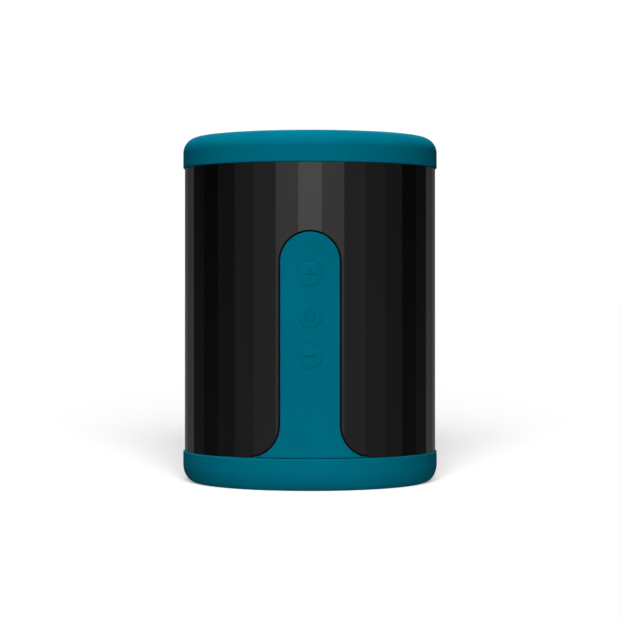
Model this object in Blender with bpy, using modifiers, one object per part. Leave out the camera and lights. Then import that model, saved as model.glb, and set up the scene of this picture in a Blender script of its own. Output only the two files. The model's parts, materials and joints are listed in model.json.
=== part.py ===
"""Portable Bluetooth speaker: a 36-sided sleeve between two silicone caps, with a key strip in its front.

Standalone Blender 4.5 script. Metres, +Z up. The base rests on z = 0 round the origin, keys towards -Y.
Each sub-part is one named object. A moving piece has its origin on its joint's axis.
"""

import math

import bmesh
import bpy
from mathutils import Matrix, Vector

MM = 0.001

# Outside of the speaker
HEIGHT = 109.6 * MM
CAP_R = 40.5 * MM
CAP_EDGE = 9.8 * MM  # height of each cap's visible side
BODY_R = 40.0 * MM  # radius to the corners of the faceted sleeve
FACETS = 36
FACET_STEP = 2 * math.pi / FACETS
GAP = 0.3 * MM  # air between neighbouring pieces

# Rounded corners of the caps: (distance in from the side, distance along it)
TOP_CORNER = (5.0 * MM, 5.0 * MM)
BOTTOM_CORNER = (4.1 * MM, 5.7 * MM)
CAP_BORE = 37.9 * MM
CAP_OPENING = 31.6 * MM

# Sleeve and the enclosure inside it
SLEEVE_BORE = 38.4 * MM
CORE_R = 37.6 * MM
CORE_BORE = 35.6 * MM
CORE_LOW = 7.3 * MM
CORE_HIGH = 95.7 * MM

# Key strip in the front
STRIP_R = 39.9 * MM
STRIP_HALF = 9.16 * MM  # half width, measured round the body
STRIP_TOP = 78.6 * MM
STRIP_FLARE = 10.0 * MM  # radius of the two fillets at its foot
KEY_PITCH = 12.4 * MM
KEY_MID_Z = 53.25 * MM
KEY_R = 3.65 * MM
KEY_POST_END = 34.9 * MM
KEY_NAMES = ("minus", "power", "plus")  # from the bottom up

# Key board behind the strip, as distances in front of the body's axis
BOARD_THICK = 1.6 * MM
KEY_BOARD_FRONT = 30.8 * MM
SWITCH_TOP = 33.1 * MM
PLUNGER_TOP = 34.6 * MM

# Driver, firing up through the top grille
BAFFLE_TOP = 99.0 * MM
COLLAR_TOP = 104.0 * MM
GRILLE_THICK = 0.8 * MM
FLANGE_LOW = 100.3 * MM
FLANGE_HIGH = 101.5 * MM
FLANGE_R = 29.5 * MM
COIL_R = 7.7 * MM
SURROUND_R = 22.8 * MM  # middle of the half roll
MAGNET_R = 17.5 * MM

# Passive radiator, facing the rear
RADIATOR_Z = 60.0 * MM
RADIATOR_SEAT_Y = 27.0 * MM
RADIATOR_HOLE_R = 20.4 * MM
RADIATOR_RIM_R = 23.0 * MM

# Main board, battery and the sockets behind the port cover
MAIN_BOARD_LOW = 13.0 * MM
MAIN_BOARD_HIGH = MAIN_BOARD_LOW + BOARD_THICK
BATTERY_Z = 31.2 * MM
BATTERY_Y = -2.0 * MM
BATTERY_R = 9.1 * MM
BATTERY_LENGTH = 65.0 * MM
PORT_Z = 17.0 * MM
PORT_HALF_HEIGHT = 4.4 * MM
PORT_FAR_X = -11.0 * MM
PORT_THICK = 1.6 * MM
PORT_AXIS_R = STRIP_R - PORT_THICK / 2
PORT_AXIS_X = 10.6 * MM
PORT_AXIS_Y = math.sqrt(PORT_AXIS_R**2 - PORT_AXIS_X**2)
WINDOW_LOW = MAIN_BOARD_HIGH
WINDOW_HIGH = 20.2 * MM

# Where the screws stand
TOP_BOSSES = [(32.6 * MM, math.radians(45 + 90 * i)) for i in range(4)]
BASE_BOSSES = [(32.6 * MM, math.radians(30 + 120 * i)) for i in range(3)]
DRIVER_SCREWS = [(27.2 * MM, math.radians(20 + 90 * i)) for i in range(4)]
BOARD_SCREWS = [(16.0 * MM, -12.0 * MM), (-16.0 * MM, 20.0 * MM)]
KEY_BOARD_SCREWS = [32.5 * MM, 74.5 * MM]
BOSS_R = 3.4 * MM
SHANK_R = 1.2 * MM
PILOT_R = SHANK_R + GAP


# ---------------------------------------------------------------- scene, materials and modelling helpers

for old in list(bpy.data.objects):
    bpy.data.objects.remove(old)

PARTS = bpy.data.collections.new("bluetooth_speaker")
CUTTERS = bpy.data.collections.new("cutters")
for group in (PARTS, CUTTERS):
    bpy.context.scene.collection.children.link(group)


def material(name, colour, roughness, metallic=0.0):
    made = bpy.data.materials.new(name)
    made.use_nodes = True
    shader = made.node_tree.nodes["Principled BSDF"]
    shader.inputs["Base Color"].default_value = (*colour, 1.0)
    shader.inputs["Roughness"].default_value = roughness
    shader.inputs["Metallic"].default_value = metallic
    made.diffuse_color = (*colour, 1.0)
    return made


SILICONE = material("teal_silicone", (0.003, 0.14, 0.20), 0.55)
SATIN = material("black_satin_sleeve", (0.012, 0.012, 0.013), 0.38)
ABS = material("black_abs", (0.02, 0.02, 0.022), 0.5)
GRILLE = material("black_grille", (0.015, 0.015, 0.016), 0.45, 0.6)
STEEL = material("plated_steel", (0.55, 0.55, 0.56), 0.3, 1.0)
FERRITE = material("ferrite", (0.03, 0.03, 0.032), 0.6)
COPPER = material("copper_coil", (0.72, 0.36, 0.2), 0.35, 1.0)
PAPER = material("paper_cone", (0.02, 0.02, 0.02), 0.8)
RUBBER = material("black_rubber", (0.015, 0.015, 0.015), 0.6)
CLOTH = material("spider_cloth", (0.45, 0.28, 0.1), 0.85)
FOAM = material("grey_foam", (0.06, 0.06, 0.065), 0.9)
PCB = material("green_board", (0.01, 0.12, 0.05), 0.4)
CHIP = material("chip_black", (0.01, 0.01, 0.01), 0.35)
WRAP = material("battery_wrap", (0.02, 0.22, 0.42), 0.35)
WIRE = material("wire_red", (0.45, 0.02, 0.02), 0.5)
RIBBON = material("flex_ribbon", (0.5, 0.22, 0.04), 0.4)


def own(obj, name, finish):
    """Names the object and moves it to the parts collection, or to the cutters if it has no finish."""
    obj.name = name
    obj.data.name = name
    for group in list(obj.users_collection):
        group.objects.unlink(obj)
    (PARTS if finish else CUTTERS).objects.link(obj)
    if finish:
        obj.data.materials.clear()
        obj.data.materials.append(finish)
    else:
        obj.hide_render = True
        obj.display_type = "WIRE"
    return obj


def cylinder(name, finish, radius, low, high, centre=(0.0, 0.0), axis="Z", sides=24):
    """A cylinder from low to high on an axis. centre is its place on the other two, in X, Y, Z order."""
    middle = (low + high) / 2
    place, turn = {
        "X": ((middle, *centre), (0, math.pi / 2, 0)),
        "Y": ((centre[0], middle, centre[1]), (math.pi / 2, 0, 0)),
        "Z": ((*centre, middle), (0, 0, 0)),
    }[axis]
    bpy.ops.mesh.primitive_cylinder_add(
        vertices=sides, radius=radius, depth=high - low, location=place, rotation=turn
    )
    made = own(bpy.context.object, name, finish)
    made.data.shade_smooth()
    made.data.set_sharp_from_angle(angle=math.radians(35))
    return made


def box(name, finish, low, high):
    """A box between two opposite corners."""
    low, high = Vector(low), Vector(high)
    bpy.ops.mesh.primitive_cube_add(size=1, location=(low + high) / 2)
    made = own(bpy.context.object, name, finish)
    made.data.transform(Matrix.Diagonal((*(high - low), 1)))
    return made


def turned(name, finish, profile, steps=36, closed=True, turn=(0, 0, 0), place=(0, 0, 0)):
    """Revolves (radius, height) points about local Z. They run down the outer side.

    A profile that is not closed starts and ends on the axis.
    """
    mesh = bpy.data.meshes.new(name)
    count = len(profile)
    edges = [(i, (i + 1) % count) for i in range(count if closed else count - 1)]
    mesh.from_pydata([(r, 0, z) for r, z in profile], edges, [])
    made = bpy.data.objects.new(name, mesh)
    bpy.context.scene.collection.objects.link(made)
    made.location = place
    made.rotation_euler = turn
    screw = made.modifiers.new("turn", "SCREW")
    screw.steps = screw.render_steps = steps
    screw.use_merge_vertices = True
    screw.merge_threshold = 0.00001
    return own(made, name, finish)


def prism(name, outline, half_depth, turn=(0, 0, 0), place=(0, 0, 0), finish=None):
    """A flat outline in local XY, extruded both ways along local Z."""
    curve = bpy.data.curves.new(name, "CURVE")
    curve.dimensions = "2D"
    curve.fill_mode = "BOTH"
    curve.extrude = half_depth
    spline = curve.splines.new("POLY")
    spline.points.add(len(outline) - 1)
    for point, (x, y) in zip(spline.points, outline):
        point.co = (x, y, 0, 1)
    spline.use_cyclic_u = True
    guide = bpy.data.objects.new(name, curve)
    guide.rotation_euler = turn
    guide.location = place
    bpy.context.scene.collection.objects.link(guide)
    return own(mesh_of(guide), name, finish)


def mesh_of(guide):
    """Replaces a curve object with a mesh object whose caps are welded to its sides."""
    bpy.context.view_layer.update()
    graph = bpy.context.evaluated_depsgraph_get()
    mesh = bpy.data.meshes.new_from_object(guide.evaluated_get(graph))
    body = bmesh.new()
    body.from_mesh(mesh)
    bmesh.ops.remove_doubles(body, verts=body.verts, dist=0.000001)
    bmesh.ops.recalc_face_normals(body, faces=body.faces)
    body.to_mesh(mesh)
    body.free()
    made = bpy.data.objects.new(guide.name, mesh)
    made.matrix_world = guide.matrix_world
    bpy.context.scene.collection.objects.link(made)
    bpy.data.objects.remove(guide)
    return made


def combine(target, operation, tools):
    for tool in tools:
        change = target.modifiers.new(tool.name, "BOOLEAN")
        change.operation = operation
        change.object = tool
        change.solver = "EXACT"
    return target


def cut(target, *tools):
    return combine(target, "DIFFERENCE", tools)


def join(target, *tools):
    return combine(target, "UNION", tools)


def keep(target, *tools):
    return combine(target, "INTERSECT", tools)


def arc(centre, radius, start, end, steps):
    """Points on an arc, with angles in degrees."""
    turns = [math.radians(start + (end - start) * i / steps) for i in range(steps + 1)]
    return [(centre[0] + radius * math.cos(a), centre[1] + radius * math.sin(a)) for a in turns]


def polar(radius, angle):
    return radius * math.cos(angle), radius * math.sin(angle)


def obround(half_width, half_height, steps=6):
    """An upright slot outline with round ends."""
    straight = half_height - half_width
    return arc((0, straight), half_width, 0, 180, steps) + arc((0, -straight), half_width, 180, 360, steps)


FACING_FRONT = (math.pi / 2, 0, 0)  # a local XY outline stands up, with local Y along +Z
FACING_REAR = (-math.pi / 2, 0, 0)  # local Z points along +Y


# ---------------------------------------------------------------- outside shells


def cap_corner(corner, steps=6):
    """A cap's elliptical corner, from its side to its flat, as (distance in, distance towards the flat)."""
    run, rise = corner
    turns = [math.pi / 2 * i / steps for i in range(steps + 1)]
    return [(run * (1 - math.cos(a)), rise * math.sin(a)) for a in turns]


def top_cap():
    """Silicone cap with a round opening over the driver."""
    shoulder = HEIGHT - TOP_CORNER[1]
    inside_top = COLLAR_TOP + 2 * GAP + GRILLE_THICK
    lip_round = 1.4 * MM
    lip = arc((CAP_OPENING + lip_round, HEIGHT - lip_round), lip_round, 180, 90, 3)
    side = [(CAP_R - run, shoulder + rise) for run, rise in reversed(cap_corner(TOP_CORNER))]
    skirt = [(CAP_R, HEIGHT - CAP_EDGE), (CAP_BORE, HEIGHT - CAP_EDGE)]
    ledge = [(CAP_BORE, inside_top), (CAP_OPENING, inside_top)]
    turned("top_cap", SILICONE, lip + side + skirt + ledge, steps=48)


def bottom_cap():
    """Silicone cup that the speaker stands on, with a shallow recess under its middle."""
    floor_top = 3.2 * MM
    recess_r, recess = 31.0 * MM, 0.6 * MM
    inside = [(0, floor_top), (CAP_BORE, floor_top), (CAP_BORE, CAP_EDGE), (CAP_R, CAP_EDGE)]
    side = [(CAP_R - run, BOTTOM_CORNER[1] - rise) for run, rise in cap_corner(BOTTOM_CORNER)]
    foot = [(recess_r, 0), (recess_r - recess, recess), (0, recess)]
    turned("bottom_cap", SILICONE, inside + side + foot, steps=48, closed=False)


def strip_outline(grow):
    """The strip's front outline as (x, z), with its widths measured round the body."""
    foot = CAP_EDGE + GAP
    flare_z = foot + STRIP_FLARE
    half = STRIP_HALF + grow
    flare = STRIP_FLARE - grow
    arch = arc((0, STRIP_TOP - STRIP_HALF), half, 0, 180, 16)
    left = arc((-STRIP_HALF - STRIP_FLARE, flare_z), flare, 0, -86, 8)
    round_body = [(-x, z) for x, z in reversed(left)] + arch + left
    low = foot - grow
    points = [(BODY_R * math.sin(s / BODY_R), z) for s, z in round_body]
    return [(-points[-1][0], low)] + points + [(points[-1][0], low)]


def sleeve():
    """Faceted body tube with a front notch for the key strip, and bass slots and a port at the rear."""
    low, high = CAP_EDGE + GAP, HEIGHT - CAP_EDGE - GAP
    wall = [(BODY_R, high), (BODY_R, low), (SLEEVE_BORE, low), (SLEEVE_BORE, high)]
    made = turned("sleeve", SATIN, wall, steps=FACETS, turn=(0, 0, FACET_STEP / 2))
    notch = prism("cut_notch", strip_outline(GAP), 10 * MM, FACING_FRONT, (0, -BODY_R, 0))
    port = prism("cut_port", port_outline(GAP), 5 * MM, FACING_FRONT, (0, BODY_R, 0))
    return cut(made, notch, port, *bass_slots())


def bass_slots():
    """One upright slot in the middle of each rear facet, shorter towards the sides."""
    cutters = []
    field_half, slot_half = 21.0 * MM, 1.3 * MM
    for i in range(-2, 3):
        angle = i * FACET_STEP
        across = BODY_R * math.sin(angle)
        half_height = math.sqrt(field_half**2 - across**2)
        place = (-BODY_R * math.sin(angle), BODY_R * math.cos(angle), RADIATOR_Z)
        turn = (math.pi / 2, 0, angle)
        cutters.append(prism(f"cut_slot_{i + 3}", obround(slot_half, half_height, 4), 3 * MM, turn, place))
    return cutters


def control_strip():
    """Silicone strip with an arched head and a flared foot, holed for the three keys."""
    low, high = CAP_EDGE + GAP, STRIP_TOP + 5 * MM
    inner = CORE_R + GAP
    wall = [(STRIP_R, high), (STRIP_R, low), (inner, low), (inner, high)]
    made = turned("control_strip", SILICONE, wall, steps=72)
    keep(made, prism("keep_strip", strip_outline(0), 10 * MM, FACING_FRONT, (0, -BODY_R, 0)))
    hole_r = KEY_R + GAP
    for name, z in key_places():
        cut(made, cylinder(f"cut_key_{name}", None, hole_r, -45 * MM, -30 * MM, (0, z), "Y"))
    return made


def key_places():
    return [(name, KEY_MID_Z + (i - 1) * KEY_PITCH) for i, name in enumerate(KEY_NAMES)]


def sign(name, z):
    """Cutters for a key's sunk sign: bars for plus and minus, and an open ring with a bar for power."""
    deep, half_bar, reach = -STRIP_R + 0.3 * MM, 0.3 * MM, 2.0 * MM
    front = -STRIP_R - MM
    if name == "power":
        ring_r, centre = 1.5 * MM, (0, -0.3 * MM)
        ring = arc(centre, ring_r + half_bar, 130, 410, 14) + arc(centre, ring_r - half_bar, 410, 130, 14)
        place = (0, (front + deep) / 2, z)
        return [
            prism("cut_power_ring", ring, (deep - front) / 2, FACING_FRONT, place),
            box("cut_power_bar", None, (-half_bar, front, z + 0.1 * MM), (half_bar, deep, z + 2.2 * MM)),
        ]
    bars = [box(f"cut_{name}_across", None, (-reach, front, z - half_bar), (reach, deep, z + half_bar))]
    if name == "plus":
        bars.append(box("cut_plus_up", None, (-half_bar, front, z - reach), (half_bar, deep, z + reach)))
    return bars


def key(name, z):
    """A round key whose face follows the strip, with a sunk sign and a post that reaches its switch."""
    back = -(CORE_R + GAP)
    made = cylinder(f"key_{name}", SILICONE, KEY_R, -45 * MM, back, (0, z), "Y")
    keep(made, cylinder(f"keep_key_{name}", None, STRIP_R, z - 6 * MM, z + 6 * MM, sides=72))
    post = cylinder(f"join_post_{name}", None, 1.5 * MM, back - 1 * MM, -KEY_POST_END, (0, z), "Y", 12)
    return cut(join(made, post), *sign(name, z))


def top_grille():
    """Perforated disc held between the baffle's collar and the cap."""
    low = COLLAR_TOP + GAP
    made = cylinder("top_grille", GRILLE, CORE_R - 2 * GAP, low, low + GRILLE_THICK, sides=48)
    ring_pitch, hole_r, hole_sides = 8.2 * MM, 2.6 * MM, 8
    holes = bmesh.new()
    for ring in range(4):
        count = max(1, 6 * ring)
        for i in range(count):
            place = Vector((*polar(ring * ring_pitch, 2 * math.pi * i / count), low))
            bmesh.ops.create_cone(
                holes, cap_ends=True, segments=hole_sides, radius1=hole_r, radius2=hole_r,
                depth=4 * MM, matrix=Matrix.Translation(place),
            )
    mesh = bpy.data.meshes.new("cut_grille_holes")
    holes.to_mesh(mesh)
    holes.free()
    cutter = bpy.data.objects.new("cut_grille_holes", mesh)
    return cut(made, own(cutter, "cut_grille_holes", None))


def port_outline(grow):
    """The port cover's outline as (x, z), square at its hinge and round at its far end."""
    half = PORT_HALF_HEIGHT + grow
    hinge_x = PORT_AXIS_X + (PORT_THICK / 2 + 2 * grow if grow else 0)
    corner = 1.0 * MM
    bend = PORT_FAR_X + PORT_HALF_HEIGHT
    far = arc((bend, PORT_Z), half, 90, 270, 12)
    if not grow:
        return far + [(hinge_x, PORT_Z - half), (hinge_x, PORT_Z + half)]
    low = arc((hinge_x - corner, PORT_Z - half + corner), corner, -90, 0, 3)
    high = arc((hinge_x - corner, PORT_Z + half - corner), corner, 0, 90, 3)
    return far + low + high


def port_cover():
    """Silicone flap over the sockets, with a rolled hinge edge and a plug for the enclosure's window."""
    low, high = PORT_Z - 8 * MM, PORT_Z + 8 * MM
    inner = STRIP_R - PORT_THICK
    wall = [(STRIP_R, high), (STRIP_R, low), (inner, low), (inner, high)]
    made = turned("port_cover", SILICONE, wall, steps=72)
    keep(made, prism("keep_port", port_outline(0), 5 * MM, FACING_FRONT, (0, BODY_R, 0)))
    half = PORT_HALF_HEIGHT
    edge = cylinder(
        "join_port_edge", None, PORT_THICK / 2 + 0.05 * MM, PORT_Z - half, PORT_Z + half,
        (PORT_AXIS_X, PORT_AXIS_Y), sides=16,
    )
    plug = box(
        "join_port_plug", None,
        (-7.2 * MM, 36.6 * MM, WINDOW_LOW + 2 * GAP), (7.2 * MM, 38.6 * MM, WINDOW_HIGH - 2 * GAP),
    )
    join(made, edge, plug)
    return put_origin(made, (PORT_AXIS_X, PORT_AXIS_Y, PORT_Z))


def put_origin(obj, place):
    """Turns the object's modifiers into plain mesh and moves its origin without moving its shape."""
    bpy.context.view_layer.update()
    graph = bpy.context.evaluated_depsgraph_get()
    mesh = bpy.data.meshes.new_from_object(obj.evaluated_get(graph))
    obj.modifiers.clear()
    obj.data = mesh
    mesh.name = obj.name
    mesh.transform(Matrix.Translation(obj.location - Vector(place)))
    obj.location = place
    return obj


# ---------------------------------------------------------------- enclosure


def core_shell():
    """Sealed tube with screw bosses, a rear seat for the radiator, and windows for keys and sockets."""
    wall = [(CORE_R, CORE_HIGH), (CORE_R, CORE_LOW), (CORE_BORE, CORE_LOW), (CORE_BORE, CORE_HIGH)]
    made = turned("core_shell", ABS, wall)
    additions, cuts = [], []
    low, high = CORE_HIGH - 11 * MM, CORE_HIGH
    for i, place in enumerate(polar(*boss) for boss in TOP_BOSSES):
        additions.append(cylinder(f"join_top_boss_{i}", None, BOSS_R, low, high, place, sides=16))
        cuts.append(cylinder(f"cut_top_pilot_{i}", None, PILOT_R, low + 2 * MM, high + MM, place, sides=10))
    low, high = CORE_LOW, CORE_LOW + 9 * MM
    for i, place in enumerate(polar(*boss) for boss in BASE_BOSSES):
        additions.append(cylinder(f"join_foot_boss_{i}", None, BOSS_R, low, high, place, sides=16))
        cuts.append(cylinder(f"cut_foot_pilot_{i}", None, PILOT_R, low - MM, high - 2 * MM, place, sides=10))
    front, back = -CORE_R + MM, -KEY_BOARD_FRONT - GAP
    for i, z in enumerate(KEY_BOARD_SCREWS):
        additions.append(cylinder(f"join_key_post_{i}", None, 2.4 * MM, front, back, (0, z), "Y", 16))
        cuts.append(cylinder(f"cut_key_pilot_{i}", None, PILOT_R, -35 * MM, back + MM, (0, z), "Y", 10))
    seat_r = RADIATOR_RIM_R + 0.4 * MM
    seat = cylinder(
        "join_radiator_seat", None, seat_r, RADIATOR_SEAT_Y, CORE_R + MM, (0, RADIATOR_Z), "Y", 36
    )
    inside = cylinder("keep_seat", None, CORE_R - MM, RADIATOR_Z - 30 * MM, RADIATOR_Z + 30 * MM, sides=36)
    additions.append(keep(seat, inside))
    rear = (RADIATOR_SEAT_Y - 2 * MM, CORE_R + 2 * MM)
    cuts.append(cylinder("cut_radiator_hole", None, RADIATOR_HOLE_R, *rear, (0, RADIATOR_Z), "Y", 36))
    window = obround(KEY_R + 0.8 * MM, KEY_PITCH + KEY_R + 0.8 * MM)
    cuts.append(prism("cut_key_window", window, 4 * MM, FACING_FRONT, (0, -CORE_R, KEY_MID_Z)))
    cuts.append(box(
        "cut_socket_window", None, (-8.3 * MM, 30 * MM, WINDOW_LOW), (8.3 * MM, 40 * MM, WINDOW_HIGH)
    ))
    return cut(join(made, *additions), *cuts)


def top_baffle():
    """Disc that closes the enclosure, carries the driver and grips the top cap with its collar."""
    low = CORE_HIGH + GAP
    collar_in = 35.6 * MM
    hole = 23.2 * MM
    made = turned("top_baffle", ABS, [
        (collar_in, COLLAR_TOP), (CORE_R, COLLAR_TOP), (CORE_R, low), (hole, low),
        (hole, BAFFLE_TOP), (collar_in, BAFFLE_TOP),
    ])
    return cut(made, *[
        cylinder(f"cut_baffle_{i}", None, PILOT_R, low - MM, COLLAR_TOP, polar(*place), sides=10)
        for i, place in enumerate(TOP_BOSSES + DRIVER_SCREWS)
    ])


def base_plate():
    """Disc that closes the enclosure's foot, counterbored for its screws, with posts for the main board."""
    low, high = 3.5 * MM, CORE_LOW - GAP
    made = cylinder("base_plate", ABS, CORE_R, low, high, sides=36)
    additions, cuts = [], []
    post_r, post_top = 2.4 * MM, MAIN_BOARD_LOW - GAP
    for i, place in enumerate((x, y) for x in (-16 * MM, 16 * MM) for y in (-12 * MM, 20 * MM)):
        additions.append(cylinder(f"join_post_{i}", None, post_r, high - MM, post_top, place, sides=12))
    for i, place in enumerate(BOARD_SCREWS):
        cuts.append(cylinder(f"cut_post_pilot_{i}", None, PILOT_R, high, post_top + MM, place, sides=10))
    for i, place in enumerate(polar(*boss) for boss in BASE_BOSSES):
        cuts.append(cylinder(f"cut_base_hole_{i}", None, PILOT_R, low - MM, high + MM, place, sides=10))
        cuts.append(cylinder(f"cut_base_head_{i}", None, 2.6 * MM, low - MM, low + 2 * MM, place, sides=12))
    return cut(join(made, *additions), *cuts)


# ---------------------------------------------------------------- driver


def driver():
    """Full-range driver: gasket, basket, motor, moving cone and the two flexible rings that hold it."""
    gasket_low, gasket_high = BAFFLE_TOP + GAP, FLANGE_LOW - GAP
    gasket = turned("driver_gasket", FOAM, [
        (FLANGE_R, gasket_high), (FLANGE_R, gasket_low), (23.4 * MM, gasket_low), (23.4 * MM, gasket_high),
    ])
    basket = turned("driver_basket", STEEL, [
        (FLANGE_R, FLANGE_HIGH), (FLANGE_R, FLANGE_LOW), (22.8 * MM, FLANGE_LOW), (22.8 * MM, 97.0 * MM),
        (17.2 * MM, 87.0 * MM), (17.2 * MM, 84.3 * MM), (10.5 * MM, 84.3 * MM), (10.5 * MM, 85.3 * MM),
        (16.2 * MM, 85.3 * MM), (16.2 * MM, 87.3 * MM), (21.8 * MM, 97.3 * MM), (21.8 * MM, FLANGE_HIGH),
    ])
    low, high = gasket_low - MM, FLANGE_HIGH + MM
    for i, place in enumerate(polar(*screw_place) for screw_place in DRIVER_SCREWS):
        hole = cylinder(f"cut_flange_{i}", None, PILOT_R, low, high, place, sides=10)
        cut(basket, hole)
        cut(gasket, hole)
    corner = Vector((30 * MM, 6.6 * MM, 95.3 * MM))
    for i in range(2):
        opening = box(f"cut_basket_window_{i}", None, (-corner.x, -corner.y, 88.7 * MM), corner)
        opening.rotation_euler = (0, 0, math.radians(45 + 90 * i))
        cut(basket, opening)
    motor()
    cone()
    flexible_rings()


def motor():
    """Top plate, ring magnet and the yoke with its pole."""
    plate_r = MAGNET_R - 1.5 * MM
    turned("driver_top_plate", STEEL, [
        (plate_r, 84.0 * MM), (plate_r, 82.2 * MM), (8.2 * MM, 82.2 * MM), (8.2 * MM, 84.0 * MM),
    ], steps=36)
    turned("driver_magnet", FERRITE, [
        (MAGNET_R, 81.9 * MM), (MAGNET_R, 77.2 * MM), (10.0 * MM, 77.2 * MM), (10.0 * MM, 81.9 * MM),
    ], steps=36)
    pole_r = 6.7 * MM
    turned("driver_yoke", STEEL, [
        (0, 84.0 * MM), (pole_r, 84.0 * MM), (pole_r, 76.9 * MM), (plate_r, 76.9 * MM),
        (plate_r, 74.0 * MM), (0, 74.0 * MM),
    ], steps=36, closed=False)


def cone():
    """The pieces that move together: voice coil, cone and dust cap."""
    coil_in = COIL_R - 0.6 * MM
    turned("voice_coil", COPPER, [
        (COIL_R, 91.5 * MM), (COIL_R, 79.5 * MM), (coil_in, 79.5 * MM), (coil_in, 91.5 * MM),
    ], steps=24)
    neck = COIL_R + GAP
    turned("cone", PAPER, [
        (20.9 * MM, 101.6 * MM), (20.9 * MM, 100.8 * MM), (neck + MM, 89.6 * MM), (neck, 89.6 * MM),
        (neck, 90.6 * MM), (20.1 * MM, 101.6 * MM),
    ])
    dome_r, dome_z, rise, thick = 9.6 * MM, 93.2 * MM, 3.2 * MM, 0.5 * MM
    outside = [(dome_r * i / 4, dome_z + rise * (1 - (i / 4) ** 2)) for i in range(5)]
    inside = [(r, z - thick) for r, z in reversed(outside)]
    turned("dust_cap", PAPER, outside + inside, steps=24, closed=False)


def half_roll(middle, roll_r, lip, thick, low, steps=5):
    """Section of a half-roll ring: two flat lips and a raised roll between them."""
    lip_top = low + thick
    outer = arc((middle, lip_top), roll_r + thick / 2, 180, 0, steps)
    inner = arc((middle, low), roll_r - thick / 2, 0, 180, steps)
    reach = roll_r + lip
    return (
        [(middle - reach, lip_top)] + outer + [(middle + reach, lip_top), (middle + reach, low)]
        + inner + [(middle - reach, low)]
    )


def flexible_rings():
    """Rubber surround above the flange and the corrugated cloth spider above the magnet."""
    surround = half_roll(SURROUND_R, 1.6 * MM, 0.9 * MM, 0.4 * MM, FLANGE_HIGH + 0.4 * MM)
    turned("driver_surround", RUBBER, surround)
    inner, outer, waves, height, thick = COIL_R + GAP, 15.8 * MM, 2, 0.5 * MM, 0.4 * MM
    middle_z = 88.3 * MM
    count = 4 * waves
    pitch = (outer - inner) / count
    wave = [(inner + pitch * i, middle_z + height * math.sin(math.pi / 2 * i)) for i in range(count + 1)]
    turned("driver_spider", CLOTH, wave + [(r, z - thick) for r, z in reversed(wave)], steps=24)


# ---------------------------------------------------------------- passive radiator


def radiator():
    """Rear passive radiator: rim, rubber roll and the weighted plate that moves."""
    place = (0, 0, RADIATOR_Z)
    rim_low, rim_high = RADIATOR_SEAT_Y - 2.1 * MM, RADIATOR_SEAT_Y - GAP
    turned("radiator_rim", ABS, [
        (RADIATOR_RIM_R, rim_high), (RADIATOR_RIM_R, rim_low), (18.6 * MM, rim_low), (18.6 * MM, rim_high),
    ], steps=36, turn=FACING_REAR, place=place)
    roll = half_roll(16.7 * MM, 2.2 * MM, 1.1 * MM, 0.4 * MM, RADIATOR_SEAT_Y)
    turned("radiator_surround", RUBBER, roll, steps=36, turn=FACING_REAR, place=place)
    plate_r, boss_r = 14.6 * MM, 8.0 * MM
    turned("radiator_plate", ABS, [
        (0, 28.0 * MM), (boss_r, 28.0 * MM), (boss_r + MM, rim_high), (plate_r, rim_high),
        (plate_r, rim_low + GAP), (0, rim_low + GAP),
    ], steps=36, closed=False, turn=FACING_REAR, place=place)


# ---------------------------------------------------------------- keys' electronics


def key_board():
    """Upright board behind the keys, with a tact switch and its plunger for each."""
    back = -KEY_BOARD_FRONT + BOARD_THICK
    board = box("key_board", PCB, (-9 * MM, -KEY_BOARD_FRONT, 29.5 * MM), (9 * MM, back, 77.5 * MM))
    for i, z in enumerate(KEY_BOARD_SCREWS):
        cut(board, cylinder(f"cut_key_board_{i}", None, PILOT_R, -40 * MM, -20 * MM, (0, z), "Y", 10))
    well_r, plunger_r = 1.8 * MM, 1.5 * MM
    low = -KEY_BOARD_FRONT - GAP
    for name, z in key_places():
        body = box(f"switch_{name}", CHIP, (-3 * MM, -SWITCH_TOP, z - 3 * MM), (3 * MM, low, z + 3 * MM))
        cut(body, cylinder(f"cut_well_{name}", None, well_r, -SWITCH_TOP - MM, low - GAP, (0, z), "Y", 16))
        cylinder(f"plunger_{name}", ABS, plunger_r, -PLUNGER_TOP, low - 3 * GAP, (0, z), "Y", 16)


# ---------------------------------------------------------------- main board, battery and sockets


def main_board():
    """Round-backed board on the base plate's posts, with its sockets and largest components."""
    made = box("main_board", PCB, (-21 * MM, -18 * MM, MAIN_BOARD_LOW), (21 * MM, 34 * MM, MAIN_BOARD_HIGH))
    low, high = MAIN_BOARD_LOW - MM, MAIN_BOARD_HIGH + MM
    keep(made, cylinder("keep_board", None, 34.6 * MM, low, high, sides=36))
    for i, place in enumerate(BOARD_SCREWS):
        cut(made, cylinder(f"cut_board_{i}", None, PILOT_R, low, high, place, sides=10))
    floor = MAIN_BOARD_HIGH + GAP
    usb_socket(floor)
    aux_jack(floor)
    box("bluetooth_module", STEEL, (4 * MM, -15 * MM, floor), (13 * MM, 1 * MM, floor + 2.2 * MM))
    box("amplifier_chip", CHIP, (-10 * MM, 2 * MM, floor), (-4 * MM, 8 * MM, floor + 1.2 * MM))
    cylinder("reservoir_capacitor", CHIP, 3.0 * MM, floor, floor + 4.8 * MM, (-14 * MM, -13 * MM), sides=20)


def usb_socket(floor):
    """Charging socket: a flat metal shell with an obround mouth and a contact tongue."""
    x, rear, half_width, height = 3.2 * MM, 35.0 * MM, 4.5 * MM, 3.3 * MM
    front = rear - 7.4 * MM
    made = box("usb_socket", STEEL, (x - half_width, front, floor), (x + half_width, rear, floor + height))
    middle = floor + height / 2
    mouth = [(z, w) for w, z in obround(1.3 * MM, 4.1 * MM, 5)]
    cut(made, prism("cut_usb_mouth", mouth, 6 * MM, FACING_FRONT, (x, rear, middle)))
    half = Vector((3, 3, 0.35)) * MM
    centre = Vector((x, rear - 4 * MM, middle))
    return join(made, box("join_usb_tongue", None, centre - half, centre + half))


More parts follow.
